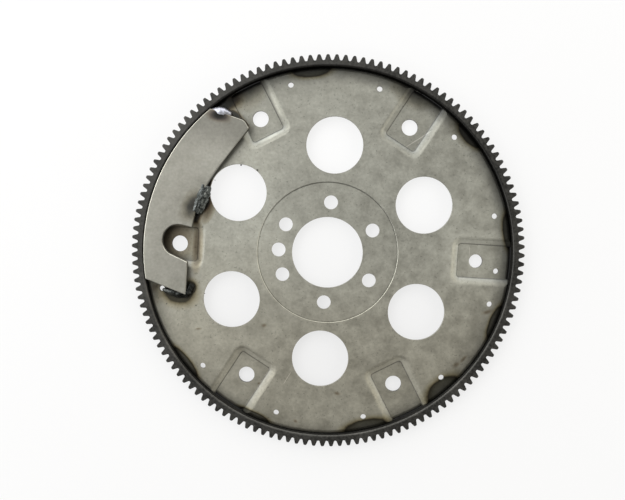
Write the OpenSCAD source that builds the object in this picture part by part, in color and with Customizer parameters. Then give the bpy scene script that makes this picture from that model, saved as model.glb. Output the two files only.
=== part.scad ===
// Flexplate: a stamped drive plate with a starter ring gear and a welded balance weight.
// The origin is on the crank axis, on the hub face, and the engine side faces up (+Z).

/* [Ring gear] */
// Number of teeth on the starter ring
teeth = 139; // [134:1:156]
// Tooth module, 10 teeth to each inch of pitch diameter
tooth_module = 2.54; // [2.46:0.01:2.8]
// Pressure angle of the teeth, in degrees
pressure_angle = 20; // [16:0.5:24]
// Depth of a tooth below the pitch circle, in modules
dedendum_ratio = 1.157; // [1.1:0.001:1.3]
// Rounding at the tips and roots of the teeth
tooth_round = 0.5; // [0.2:0.05:0.6]
// Width of the ring along its axis
ring_w = 10.5; // [9:0.1:12]
// Height of the ring's front face above the plate
ring_proud = 4.7; // [3:0.1:6]
// Steel between the ring's bore and the roots of the teeth
ring_wall = 5.1; // [4:0.1:8]
// Bevel round the front ends of the teeth
tooth_bevel = 1.1; // [0.4:0.1:2]
// Chamfer at the front of the ring's bore
bore_chamfer = 0.9; // [0.3:0.1:2]
// Gap between the plate's rim and the ring's bore
ring_fit = 0.05; // [0.02:0.01:0.2]

/* [Plate] */
// Thickness of the sheet
sheet_t = 3; // [2:0.1:3.5]
// Radius of the hub face that seats on the crank
hub_r = 64.2; // [58:0.1:68]
// Depth of the hub face below the rest of the plate
hub_step = 0.6; // [0.3:0.1:1.5]
// Slope of the step round the hub face, in degrees
hub_slope = 45; // [30:1:60]
// Outer radius of the bend where the rim turns down
rim_bend = 4; // [3.8:0.1:6]
// Length of the turned-down rim below the backs of the pads
rim_lip = 1.4; // [1.1:0.1:3]

/* [Hub holes] */
// Diameter of the bore that centres on the crank
crank_bore_d = 65; // [55:0.5:70]
// Number of crank bolts
crank_bolts = 6; // [4:1:6]
// Diameter of the crank bolt circle
crank_pcd = 92; // [86:0.1:100]
// Diameter of a crank bolt hole
crank_hole_d = 12.7; // [10:0.1:14]
// Turn of the crank bolts away from half way between the pads, in degrees
crank_clock = -0.7; // [-2:0.1:2]
// Diameter of the circle that the dowel hole is on
dowel_pcd = 89.8; // [86:0.1:96]
// Diameter of the dowel hole
dowel_d = 12.8; // [10:0.1:14]

/* [Lightening holes] */
// Diameter of a lightening hole
lightening_d = 52; // [40:0.5:54]
// Diameter of the circle that the lightening holes are on
lightening_pcd = 196.5; // [190:0.5:204]
// Turn of the lightening holes away from half way between the pads, in degrees
lightening_clock = -0.5; // [-2:0.1:2]

/* [Converter pads] */
// Number of pads
pad_count = 6; // [4:2:6]
// Diameter of the converter bolt circle
converter_pcd = 273.05; // [266:0.05:280]
// Diameter of a converter bolt hole
pad_hole_d = 14.7; // [11:0.1:17]
// Diameter of the closer hole that locates the converter
locating_hole_d = 12.4; // [10:0.1:15]
// Width of a pad's flat floor
pad_w = 30; // [26:0.5:36]
// Depth of the floor below the plate
pad_depth = 4.2; // [3:0.1:5]
// Distance from the bolt circle to the inner edge of the floor
pad_reach = 16.4; // [14:0.1:20]
// Slope of the walls, in degrees
wall_slope = 35; // [30:1:50]
// Radius at the floor's inner corners
pad_corner = 2.2; // [1.5:0.1:5]
// Fillet at the foot of the walls
foot_fillet = 0.5; // [0.3:0.1:1.5]
// Rounding at the brim of the walls
brim_round = 6.5; // [4:0.1:8]

/* [Rim holes] */
// Number of small holes near the rim
rim_holes = 12; // [6:6:12]
// Diameter of a small hole
rim_hole_d = 5; // [3:0.1:6]
// Distance from the rim to the circle of small holes
rim_hole_edge = 12.6; // [10:0.1:15]
// Angle of the first small hole from the locating pad, in degrees
rim_hole_from = 15.7; // [13:0.1:17]
// Angle of the gauge hole in the locating pad, in degrees
gauge_hole_at = -3; // [-4:0.1:4]

/* [Balance weight] */
// Thickness of the weight
weight_t = 6.4; // [4:0.1:9]
// Width of the weight from its outer edge to its inner edge
weight_w = 42.4; // [38:0.1:46]
// Gap between the weight and the ring's bore
weight_gap = 0.6; // [0.4:0.1:1.5]
// Angle of the weight's outer corner at its upper end, in degrees
weight_from = 132.4; // [129:0.1:138]
// Angle of the weight's outer corner at its lower end, in degrees
weight_to = 191.6; // [187:0.1:191.8]
// Slope of the upper end edge, in degrees
upper_edge_slope = -16; // [-20:0.5:-10]
// Slope of the lower end edge, in degrees
lower_edge_slope = -18.6; // [-24:0.1:-14]
// Angle where the inner edge leaves its arc and runs straight, in degrees
straight_from = 144.7; // [141:0.1:150]
// Slope of the cut that clears the bolt hole at the upper end, in degrees
end_slope = -56; // [-62:0.5:-48]
// Gap from that cut to the bolt hole
end_clear = 5.9; // [4:0.1:8]
// Radius where the upper end edge turns into that cut
end_round = 7; // [3:0.5:10]
// Straight inner edge of the lower part, out from the crank axis
lower_inner_x = 127; // [124:0.5:132]
// Radius of the round notch for the bolt head
notch_r = 14.4; // [11:0.1:16]
// Angle of the notch round the crank axis, in degrees
notch_at = 178.6; // [177:0.1:181]
// Slope of the notch's upper side, in degrees
notch_upper_slope = -11; // [-14:0.5:-6]
// Slope of the notch's lower side, in degrees
notch_lower_slope = -21.7; // [-26:0.1:-16]

/* [Welds] */
// Radius of a bead that holds the ring
ring_bead_r = 2; // [1.5:0.1:2.2]
// Length of a bead that holds the ring
ring_bead_l = 22; // [14:1:28]
// Radius of the beads that hold the weight
weight_bead_r = 3.9; // [3.7:0.1:4.4]
// Height of those beads above the weight
bead_proud = 0.7; // [0.3:0.1:0.9]
// Gap from the weight's outer corner to the bead at its upper end
upper_bead_gap = 2.8; // [2:0.1:5]
// How far that bead's middle lies in from the weight's edge
upper_bead_in = 0.6; // [0.2:0.1:1.2]
// Length of the straight run of the bead at the weight's upper end
upper_bead_l = 8; // [6:0.5:10]
// Length of the bead on the weight's inner edge
inner_bead_l = 21; // [14:0.5:24]
// Gap from the notch to the bead on the weight's inner edge
inner_bead_gap = 11; // [5:0.5:14]
// Length of the bead at the weight's lower end
lower_bead_l = 17; // [12:0.5:18]
// Length of that bead's turn up the weight's inner side
lower_return_l = 6; // [3:0.5:9]
// Swelling where a bead starts and stops
bead_end_swell = 1.08; // [1.03:0.01:1.15]

/* [Hidden] */
$fn = 96;

// Heights, from the hub face at zero
plate_top = hub_step;
pad_top = plate_top - pad_depth;
pad_back = pad_top - sheet_t;
rim_end = pad_back - rim_lip;
ring_front = plate_top + ring_proud;
ring_back = ring_front - ring_w;
below = 10;

// Radii of the gear, from the pitch circle inwards
pitch_r = teeth * tooth_module / 2;
tip_r = pitch_r + tooth_module;
root_r = pitch_r - dedendum_ratio * tooth_module;
base_r = pitch_r * cos(pressure_angle);
bore_r = root_r - ring_wall;

// Radii of the plate, from the ring's bore inwards
rim_r = bore_r - ring_fit;
bend_r = rim_r - rim_bend;
hole_circle_r = rim_r - rim_hole_edge;
pad_pitch = 360 / pad_count;
pad_r = converter_pcd / 2;
pad_in = pad_r - pad_reach;
// Height above the plate at which a wall's brim would end level
brim_ease = 0.06;
// Flats that make up each round of a pad's wall
wall_steps = 8;
wall_run = (pad_depth + brim_ease) / tan(wall_slope);

// Colours as the photograph shows them
sheet_colour = [0.60, 0.59, 0.54];
ring_colour = [0.22, 0.21, 0.20];
weight_colour = [0.63, 0.62, 0.57];
bead_colour = [0.42, 0.40, 0.37];

// Point at a radius and an angle
function polar(r, a) = [r * cos(a), r * sin(a)];

// Steps along the flank of a tooth
flank_steps = 3;

// Involute of an angle, in degrees
function involute(a) = tan(a) * 180 / PI - a;

// Half the angle that a tooth spans at a radius
function half_tooth(r) =
    360 / teeth / 4 + involute(pressure_angle) - involute(acos(base_r / r));

// Arc length at a radius, as an angle
function arc_angle(length, r) = length / r * 180 / PI;

// One side of a tooth from root to tip, as radius and angle from the tooth's middle
tooth_side = [
    [root_r, half_tooth(root_r) + arc_angle(tooth_round, root_r)],
    for (step = [0:flank_steps])
        let (r = root_r + tooth_round + step / flank_steps * (tip_r - root_r - 2 * tooth_round))
        [r, half_tooth(r)],
    [tip_r, half_tooth(tip_r) - arc_angle(tooth_round, tip_r)]
];

// Outline of the whole toothed ring
module tooth_outline() {
    last = len(tooth_side) - 1;
    polygon([
        for (tooth = [0:teeth - 1])
            let (middle = tooth * 360 / teeth)
            each concat(
                [for (k = [0:last]) polar(tooth_side[k][0], middle - tooth_side[k][1])],
                [for (k = [last:-1:0]) polar(tooth_side[k][0], middle + tooth_side[k][1])]
            )
    ]);
}

// Turned section of the ring before its teeth are cut
module ring_section() {
    polygon([
        [bore_r, ring_back],
        [tip_r + tooth_module, ring_back],
        [tip_r + tooth_module, ring_front - tooth_bevel - tooth_module],
        [tip_r - tooth_bevel, ring_front],
        [bore_r + bore_chamfer, ring_front],
        [bore_r, ring_front - bore_chamfer]
    ]);
}

module ring_gear() {
    color(ring_colour)
    intersection() {
        rotate_extrude($fn = 4 * teeth) ring_section();
        translate([0, 0, ring_back - below])
            linear_extrude(ring_w + 2 * below) tooth_outline();
    }
}

// Solid under the plate's turned surface, at a depth of t below the viewed face
module turned_skin(t, drop = 0) {
    hub_edge = hub_r + t * tan(hub_slope / 2);
    translate([0, 0, -drop])
    rotate_extrude($fn = 240) {
        polygon([
            [0, rim_end - below],
            [rim_r - t, rim_end - below],
            [rim_r - t, plate_top - rim_bend],
            [bend_r, plate_top - t],
            [hub_edge + hub_step / tan(hub_slope), plate_top - t],
            [hub_edge, -t],
            [0, -t]
        ]);
        translate([bend_r, plate_top - rim_bend])
            intersection() {
                circle(rim_bend - t, $fn = 48);
                square(rim_bend);
            }
    }
}

// Points on an arc round a centre, between two angles
function arc(centre, r, from, to, steps) =
    [for (i = [0:steps]) centre + polar(r, from + (to - from) * i / steps)];

// Wall of a pad in section, out from the centre of a floor corner, at a depth of t
module pad_wall(t) {
    shift = t * tan(wall_slope / 2);
    foot = [pad_corner + shift, pad_top - t];
    brim = [pad_corner + wall_run + shift, plate_top + brim_ease - t];
    foot_r = foot_fillet + t;
    brim_r = brim_round - t;
    foot_mid = foot + foot_r * [-tan(wall_slope / 2), 1];
    brim_mid = brim + brim_r * [tan(wall_slope / 2), -1];
    polygon([
        [0, foot.y],
        each arc(foot_mid, foot_r, -90, wall_slope - 90, wall_steps),
        each arc(brim_mid, brim_r, wall_slope + 90, 90, wall_steps),
        [brim_mid.x, plate_top + below],
        [0, plate_top + below]
    ]);
}

// Space over one pad along +X, open at the rim, at a depth of t below the viewed face
module pad_space(t) {
    corner_x = pad_in + pad_corner;
    corner_y = pad_w / 2 - pad_corner;
    floor_half = pad_w / 2 + t * tan(wall_slope / 2);
    out = rim_r + below;
    translate([corner_x, 0, 0]) rotate([90, 0, 90])
        linear_extrude(out - corner_x) {
            for (side = [0, 1]) mirror([side, 0]) translate([corner_y, 0]) pad_wall(t);
            translate([-corner_y, pad_top - t])
                square([2 * corner_y, pad_depth + t + below]);
        }
    translate([corner_x, -corner_y, 0]) rotate([90, 0, 180])
        linear_extrude(2 * corner_y) pad_wall(t);
    for (side = [-1, 1])
        translate([corner_x, side * corner_y, 0])
            rotate(side > 0 ? 90 : 180) rotate_extrude(angle = 90) pad_wall(t);
    difference() {
        translate([bend_r - rim_bend, -floor_half, rim_end - below])
            cube([out - bend_r + rim_bend, 2 * floor_half, pad_top - t - rim_end + below]);
        turned_skin(t, pad_depth);
    }
}

// Solid under the plate's formed surface, at a depth of t below the viewed face
module formed_skin(t) {
    difference() {
        turned_skin(t);
        for (pad = [0:pad_count - 1]) rotate(pad * pad_pitch) pad_space(t);
    }
}

// Round hole through the plate at a place
module drill(place, diameter) {
    translate([place.x, place.y, rim_end - below])
        cylinder(d = diameter, h = plate_top - rim_end + 2 * below);
}

module hub_holes() {
    drill([0, 0], crank_bore_d);
    for (bolt = [0:crank_bolts - 1])
        drill(polar(crank_pcd / 2, pad_pitch / 2 + crank_clock + bolt * 360 / crank_bolts), crank_hole_d);
    drill(polar(dowel_pcd / 2, 180), dowel_d);
}

module lightening_holes() {
    for (pad = [0:pad_count - 1])
        drill(polar(lightening_pcd / 2, (pad + 0.5) * pad_pitch + lightening_clock), lightening_d);
}

module pad_holes() {
    drill(polar(pad_r, 0), locating_hole_d);
    for (pad = [1:pad_count - 1]) drill(polar(pad_r, pad * pad_pitch), pad_hole_d);
}

module small_holes() {
    for (hole = [0:rim_holes - 1])
        drill(polar(hole_circle_r, rim_hole_from + hole * 360 / rim_holes), rim_hole_d);
    drill(polar(hole_circle_r, gauge_hole_at), rim_hole_d);
}

module plate() {
    color(sheet_colour)
    difference() {
        intersection() {
            formed_skin(0);
            translate([0, 0, rim_end]) cylinder(r = rim_r + below, h = plate_top - rim_end + below);
        }
        formed_skin(sheet_t);
        hub_holes();
        lightening_holes();
        pad_holes();
        small_holes();
    }
}

// Corners of the weight
weight_r = bore_r - weight_gap;
weight_in = weight_r - weight_w;
upper_corner = polar(weight_r, weight_from);
lower_corner = polar(weight_r, weight_to);
lower_tip = crossing(lower_corner, lower_edge_slope, [-lower_inner_x, 0], 90);
notch_mid = polar(pad_r, notch_at);
end_hole = polar(pad_r, 180 - pad_pitch);

// Place at a distance from a point in a direction
function onward(from, distance, a) = from + polar(distance, a);

// Point where two lines cross, each given by a point and a direction in degrees
function crossing(p, a, q, b) =
    let (d = q - p)
    onward(p, (d.x * sin(b) - d.y * cos(b)) / sin(b - a), a);

// Weight in plan, with its bolt-head notch
module weight_outline() {
    straight_start = polar(weight_in, straight_from);
    straight_way = straight_from - 90;
    end_side = onward(end_hole, pad_hole_d / 2 + end_clear, end_slope - 90);
    upper_turn = crossing(upper_corner, upper_edge_slope, end_side, end_slope);
    turn_back = end_round * tan((upper_edge_slope - end_slope) / 2);
    turn_mid = onward(onward(upper_turn, -turn_back, upper_edge_slope), end_round, upper_edge_slope - 90);
    upper_tip = crossing(straight_start, straight_way, end_side, end_slope);
    difference() {
        intersection() {
            circle(weight_r, $fn = 360);
            polygon([
                onward(upper_corner, -weight_w, upper_edge_slope),
                each arc(turn_mid, end_round, upper_edge_slope + 90, end_slope + 90, wall_steps),
                upper_tip,
                straight_start,
                [-lower_inner_x, notch_mid.y],
                lower_tip,
                onward(lower_corner, -weight_w, lower_edge_slope)
            ]);
        }
        circle(weight_in, $fn = 360);
        translate(notch_mid) circle(notch_r, $fn = 96);
        polygon([
            onward(notch_mid, notch_r, notch_upper_slope + 90),
            onward(onward(notch_mid, notch_r, notch_upper_slope + 90), weight_w, notch_upper_slope),
            onward(onward(notch_mid, notch_r, notch_lower_slope - 90), weight_w, notch_lower_slope),
            onward(notch_mid, notch_r, notch_lower_slope - 90)
        ]);
    }
}

module balance_weight() {
    color(weight_colour)
    translate([0, 0, plate_top]) linear_extrude(weight_t) weight_outline();
}

// Straight bead along +X from the origin, swollen at both ends
module straight_bead(length, r) {
    rotate([0, 90, 0]) cylinder(r = r, h = length, $fn = 48);
    for (end = [0, length]) translate([end, 0, 0]) sphere(r * bead_end_swell, $fn = 48);
}

// Bead round the crank axis, swollen at both ends
module round_bead(ring_radius, length, r) {
    turn = arc_angle(length, ring_radius);
    rotate(-turn / 2) {
        rotate_extrude(angle = turn, $fn = 360) translate([ring_radius, 0]) circle(r, $fn = 48);
        for (end = [0, turn])
            rotate(end) translate([ring_radius, 0, 0]) sphere(r * bead_end_swell, $fn = 48);
    }
}

// Angles of the ring's beads, laid by hand two between each pair of pads
ring_bead_at = [10, 44, 66, 98, 126, 160, 194, 221, 249, 286, 313, 341];

module ring_welds() {
    color(bead_colour)
    intersection() {
        for (a = ring_bead_at)
            rotate(a) translate([0, 0, ring_back - ring_bead_r / 4])
                round_bead(rim_r + ring_bead_r / 2, ring_bead_l, ring_bead_r);
        translate([0, 0, rim_end]) difference() {
            cylinder(r = root_r, h = ring_back - rim_end, $fn = 360);
            translate([0, 0, -below]) cylinder(r = rim_r, h = ring_back - rim_end + 2 * below, $fn = 360);
        }
    }
}

// Space over the plate that the weight and the ring leave free
module free_face() {
    difference() {
        translate([0, 0, plate_top]) cylinder(r = bend_r, h = weight_t + weight_bead_r, $fn = 360);
        translate([0, 0, plate_top - below]) linear_extrude(weight_t + below) weight_outline();
        lightening_holes();
        small_holes();
    }
}

// Height of the middle of the beads that hold the weight
bead_mid = plate_top + weight_t + bead_proud - weight_bead_r;

module weight_weld_upper() {
    start = onward(upper_corner, upper_bead_gap + weight_bead_r, upper_edge_slope);
    color(bead_colour)
    intersection() {
        translate([start.x, start.y, bead_mid]) rotate(upper_edge_slope)
            translate([0, -upper_bead_in, 0]) straight_bead(upper_bead_l, weight_bead_r);
        free_face();
    }
}

module weight_weld_inner() {
    middle = notch_at - arc_angle(notch_r + inner_bead_gap + weight_bead_r + inner_bead_l / 2, weight_in);
    color(bead_colour)
    intersection() {
        rotate(middle) translate([0, 0, bead_mid])
            round_bead(weight_in - weight_bead_r / 2, inner_bead_l, weight_bead_r);
        free_face();
    }
}

module weight_weld_lower() {
    color(bead_colour)
    intersection() {
        translate([lower_tip.x, lower_tip.y, bead_mid]) {
            rotate(lower_edge_slope + 180) translate([0, weight_bead_r / 2, 0])
                straight_bead(lower_bead_l, weight_bead_r);
            translate([weight_bead_r / 2, 0, 0]) rotate(90)
                straight_bead(lower_return_l, weight_bead_r);
        }
        free_face();
    }
}

plate();
ring_gear();
balance_weight();
ring_welds();
weight_weld_upper();
weight_weld_inner();
weight_weld_lower();
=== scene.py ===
import math
import random
import bpy
from mathutils import Matrix, Vector


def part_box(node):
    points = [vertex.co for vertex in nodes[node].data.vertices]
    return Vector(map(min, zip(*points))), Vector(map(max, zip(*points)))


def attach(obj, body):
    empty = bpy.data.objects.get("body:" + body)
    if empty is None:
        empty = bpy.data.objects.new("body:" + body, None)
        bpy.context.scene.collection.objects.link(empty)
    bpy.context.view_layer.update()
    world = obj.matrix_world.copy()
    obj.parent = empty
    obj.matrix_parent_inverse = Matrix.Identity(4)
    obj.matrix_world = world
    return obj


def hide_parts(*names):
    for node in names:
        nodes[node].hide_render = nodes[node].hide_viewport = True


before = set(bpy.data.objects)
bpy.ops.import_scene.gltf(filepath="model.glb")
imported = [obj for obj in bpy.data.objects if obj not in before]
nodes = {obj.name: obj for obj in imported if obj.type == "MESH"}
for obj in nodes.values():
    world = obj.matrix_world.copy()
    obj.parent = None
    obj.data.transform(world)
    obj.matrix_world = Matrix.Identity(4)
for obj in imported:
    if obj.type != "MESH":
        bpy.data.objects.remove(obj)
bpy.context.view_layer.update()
bpy.ops.object.select_all(action="DESELECT")
print("frame loaded:", ", ".join(sorted(nodes)))

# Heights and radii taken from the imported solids, in metres
plateLow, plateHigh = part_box("plate")
rimEnd = plateLow.z                         # lowest edge, what the part lies on
rimRadius = plateHigh.x
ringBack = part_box("ring_gear")[0].z
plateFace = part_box("balance_weight")[0].z   # the weight lies on the plate's face


# Small helpers for node trees
def startMaterial(name):
    material = bpy.data.materials.new(name)
    material.use_nodes = True
    tree = material.node_tree
    return material, tree, tree.nodes["Principled BSDF"]


def addNode(tree, kind, **settings):
    node = tree.nodes.new(kind)
    for key, value in settings.items():
        setattr(node, key, value)
    return node


def plugIn(tree, socket, value):
    if isinstance(value, bpy.types.NodeSocket):
        tree.links.new(value, socket)
    elif isinstance(value, tuple) and len(value) == 3 and socket.type == "RGBA":
        socket.default_value = (*value, 1)
    else:
        socket.default_value = value


def calc(tree, operation, a, b=0.0):
    node = addNode(tree, "ShaderNodeMath", operation=operation)
    plugIn(tree, node.inputs[0], a)
    plugIn(tree, node.inputs[1], b)
    return node.outputs[0]


def noise(tree, vector, scale, detail=3.0, roughness=0.5):
    node = addNode(tree, "ShaderNodeTexNoise")
    plugIn(tree, node.inputs["Vector"], vector)
    plugIn(tree, node.inputs["Scale"], scale)
    plugIn(tree, node.inputs["Detail"], detail)
    plugIn(tree, node.inputs["Roughness"], roughness)
    return node.outputs["Fac"]


# A noise that swings about zero
def wander(tree, vector, scale, amount):
    centred = calc(tree, "SUBTRACT", noise(tree, vector, scale), 0.5)
    return calc(tree, "MULTIPLY", centred, amount)


def ramp(tree, factor, stops):
    node = addNode(tree, "ShaderNodeValToRGB")
    points = node.color_ramp.elements
    while len(points) < len(stops):
        points.new(0.5)
    for point, (place, colour) in zip(points, stops):
        if isinstance(colour, (int, float)):
            colour = (colour, colour, colour)
        point.position = place
        point.color = (*colour, 1)
    plugIn(tree, node.inputs["Fac"], factor)
    return node.outputs["Color"]


# The Mix node has its colours on these sockets
def mixColour(tree, blend, factor, a, b):
    node = addNode(tree, "ShaderNodeMix", data_type="RGBA", blend_type=blend)
    plugIn(tree, node.inputs[0], factor)
    plugIn(tree, node.inputs[6], a)
    plugIn(tree, node.inputs[7], b)
    return node.outputs[2]


def multiplied(tree, colour, tone, share=1.0):
    return mixColour(tree, "MULTIPLY", share, colour, tone)


def fade(tree, value, start, end, low=0.0, high=1.0):
    node = addNode(tree, "ShaderNodeMapRange", interpolation_type="SMOOTHSTEP")
    plugIn(tree, node.inputs["Value"], value)
    plugIn(tree, node.inputs["From Min"], start)
    plugIn(tree, node.inputs["From Max"], end)
    plugIn(tree, node.inputs["To Min"], low)
    plugIn(tree, node.inputs["To Max"], high)
    return node.outputs["Result"]


# From the low to the high value over the middle of a noise, where most of it lies
noiseMiddle = (0.3, 0.7)


def uneven(tree, pattern, low, high):
    return fade(tree, pattern, *noiseMiddle, low, high)


def objectPlace(tree):
    return addNode(tree, "ShaderNodeTexCoord").outputs["Object"]


# One coordinate of a place or of a direction
def along(tree, vector, axis):
    split = addNode(tree, "ShaderNodeSeparateXYZ")
    plugIn(tree, split.inputs[0], vector)
    return split.outputs[axis]


# Upward share of the surface normal
def facingUp(tree):
    return along(tree, addNode(tree, "ShaderNodeNewGeometry").outputs["Normal"], "Z")


# How far the surface turns towards one side
def facingSide(tree, side):
    node = addNode(tree, "ShaderNodeVectorMath", operation="DOT_PRODUCT")
    plugIn(tree, node.inputs[0], addNode(tree, "ShaderNodeNewGeometry").outputs["Normal"])
    plugIn(tree, node.inputs[1], side)
    return node.outputs["Value"]


# Coordinates drawn out along one direction, for streaks
def stretched(tree, vector, length, turn):
    node = addNode(tree, "ShaderNodeMapping", vector_type="TEXTURE")
    plugIn(tree, node.inputs["Vector"], vector)
    plugIn(tree, node.inputs["Rotation"], (0, 0, math.radians(turn)))
    plugIn(tree, node.inputs["Scale"], (length, 1, 1))
    return node.outputs["Vector"]


def axisDistance(tree, vector):
    flat = addNode(tree, "ShaderNodeVectorMath", operation="MULTIPLY")
    plugIn(tree, flat.inputs[0], vector)
    plugIn(tree, flat.inputs[1], (1, 1, 0))
    size = addNode(tree, "ShaderNodeVectorMath", operation="LENGTH")
    plugIn(tree, size.inputs[0], flat.outputs["Vector"])
    return size.outputs["Value"]


# Distance from the nearest of some oval patches on the part, 0 at its middle and 1 at its edge
def nearestPatch(tree, vector, patches):
    nearest = None
    for patch in patches:
        node = addNode(tree, "ShaderNodeMapping", vector_type="TEXTURE")
        plugIn(tree, node.inputs["Vector"], vector)
        plugIn(tree, node.inputs["Location"], (*patch["place"], 0))
        plugIn(tree, node.inputs["Rotation"], (0, 0, math.radians(patch["turn"])))
        plugIn(tree, node.inputs["Scale"], (*patch["half"], 1))
        distance = axisDistance(tree, node.outputs["Vector"])
        nearest = distance if nearest is None else calc(tree, "MINIMUM", nearest, distance)
    return nearest


# Rays that the corner dirt with its painted shade and the broken edges are worked out with
traceSet = {"dirtAndShadeSamples": 8, "edgeSamples": 4}


# Dirt and painted shade where a wall stands on a face, darkest where little light reaches
def cornerDirtAndShade(tree, reach, stops):
    node = addNode(tree, "ShaderNodeAmbientOcclusion", samples=traceSet["dirtAndShadeSamples"])
    plugIn(tree, node.inputs["Distance"], reach)
    return ramp(tree, node.outputs["AO"], stops)


# Bump on top of edges that are broken by a small radius
def surfaceNormal(tree, shader, height, strength, depth, edge):
    soft = addNode(tree, "ShaderNodeBevel", samples=traceSet["edgeSamples"])
    plugIn(tree, soft.inputs["Radius"], edge)
    bump = addNode(tree, "ShaderNodeBump")
    plugIn(tree, bump.inputs["Strength"], strength)
    plugIn(tree, bump.inputs["Distance"], depth)
    plugIn(tree, bump.inputs["Height"], height)
    plugIn(tree, bump.inputs["Normal"], soft.outputs["Normal"])
    plugIn(tree, shader.inputs["Normal"], bump.outputs["Normal"])


# Camera, set as the photograph was taken: nearly square on, with the hub a little right of the middle
viewSet = {
    "distance": 0.700,      # from the hub, metres
    "topLean": 2.80,        # top of the plate towards the camera, degrees
    "sideLean": -0.98,
    "roll": -3.43,
    "aside": 0.01365,       # hub to the right of the picture's middle, metres
    "above": -0.00223,
    "focalPixels": 763.3,
    "imageWide": 625,
    "sensorWide": 36.0,
    "clipStart": 0.01,
}
bpy.ops.object.camera_add()
camera = bpy.context.object
camera.name = "photoCamera"
camera.data.sensor_width = viewSet["sensorWide"]
camera.data.lens = viewSet["focalPixels"] * viewSet["sensorWide"] / viewSet["imageWide"]
camera.data.clip_start = viewSet["clipStart"]
camera.matrix_world = (
    Matrix.Rotation(-math.radians(viewSet["roll"]), 4, "Z")
    @ Matrix.Rotation(-math.radians(viewSet["topLean"]), 4, "X")
    @ Matrix.Rotation(-math.radians(viewSet["sideLean"]), 4, "Y")
    @ Matrix.Translation((-viewSet["aside"], -viewSet["above"], viewSet["distance"]))
)
bpy.context.scene.camera = camera
bpy.context.scene.view_settings.view_transform = "Standard"
print("camera placed")

# Soft studio light: one panel overhead towards the upper left, others beyond the top and the sides,
# and a low strip at the left
lightPanels = [
    {"name": "overheadPanel", "place": (-0.70, 0.60, 1.25), "wide": 1.2, "tall": 1.0,
     "watts": 8.8, "tint": (1.0, 1.0, 1.0)},
    {"name": "topPanel", "place": (0.0, 1.20, 0.60), "wide": 2.0, "tall": 0.9,
     "watts": 12.0, "tint": (1.0, 1.0, 1.0)},
    {"name": "leftPanel", "place": (-1.15, 0.05, 0.80), "wide": 2.0, "tall": 1.5,
     "watts": 18.0, "tint": (1.0, 1.0, 1.0)},
    {"name": "rightPanel", "place": (1.20, 0.0, 0.60), "wide": 2.0, "tall": 0.9,
     "watts": 13.0, "tint": (1.0, 0.965, 0.88)},
    {"name": "leftStrip", "place": (-1.25, 0.25, 0.15), "wide": 2.4, "tall": 0.28,
     "watts": 6.0, "tint": (1.0, 1.0, 1.0)},
]
for panel in lightPanels:
    bpy.ops.object.light_add(type="AREA", location=panel["place"])
    lamp = bpy.context.object
    lamp.name = panel["name"]
    lamp.data.shape = "RECTANGLE"
    lamp.data.size = panel["wide"]
    lamp.data.size_y = panel["tall"]
    lamp.data.energy = panel["watts"]
    lamp.data.color = panel["tint"]
    lamp.rotation_euler = (-Vector(panel["place"])).to_track_quat("-Z", "Y").to_euler()

worldSet = {"fill": 0.22, "tint": (1.0, 0.975, 0.92), "seen": 1.0}
world = bpy.data.worlds.new("studioWorld")
bpy.context.scene.world = world
world.use_nodes = True
worldTree = world.node_tree
fillLight = worldTree.nodes["Background"]
plugIn(worldTree, fillLight.inputs["Color"], worldSet["tint"])
plugIn(worldTree, fillLight.inputs["Strength"], worldSet["fill"])
seenLight = addNode(worldTree, "ShaderNodeBackground")
plugIn(worldTree, seenLight.inputs["Color"], (1, 1, 1))
plugIn(worldTree, seenLight.inputs["Strength"], worldSet["seen"])
worldPath = addNode(worldTree, "ShaderNodeLightPath")
worldMix = addNode(worldTree, "ShaderNodeMixShader")
plugIn(worldTree, worldMix.inputs["Fac"], worldPath.outputs["Is Camera Ray"])
plugIn(worldTree, worldMix.inputs[1], fillLight.outputs[0])
plugIn(worldTree, worldMix.inputs[2], seenLight.outputs[0])
plugIn(worldTree, worldTree.nodes["World Output"].inputs["Surface"], worldMix.outputs[0])
print("lights set:", len(lightPanels), "panels")

# Pale floor that the part lies on; it shows near white and keeps a faint shadow, with painted shade under the
# plate and the ring
floorSet = {
    "size": 8.0,
    "paint": 0.82,
    "rough": 0.9,
    "shadowShare": 0.18,
    "openTone": 0.96,       # clear of the part
    "openSoft": 0.02,
    # painted shade under the plate: the floor seen through its holes is darker towards the bottom
    "farTone": 0.99,        # seen through the plate's holes, at the top and at the bottom
    "nearTone": 0.86,
    "holeReach": 0.13,
    "bandStart": 0.1632,    # painted shade: the floor under the ring stays dark between these radii
    "bandEnd": 0.1726,
    "bandSoft": 0.0015,
    "bandShade": 0.96,
}
bpy.ops.mesh.primitive_plane_add(size=floorSet["size"], location=(0, 0, rimEnd))
floor = bpy.context.object
floor.name = "floor"
floorMaterial, floorTree, floorShader = startMaterial("paleFloor")
floorPlace = objectPlace(floorTree)
floorRadius = axisDistance(floorTree, floorPlace)
# painted shade through the holes, darker towards the bottom
holeShadeTone = fade(floorTree, along(floorTree, floorPlace, "Y"), -floorSet["holeReach"], floorSet["holeReach"],
                floorSet["nearTone"], floorSet["farTone"])
clear = fade(floorTree, floorRadius, rimRadius, rimRadius + floorSet["openSoft"])
floorTone = mixColour(floorTree, "MIX", clear, holeShadeTone, (floorSet["openTone"],) * 3)
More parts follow.
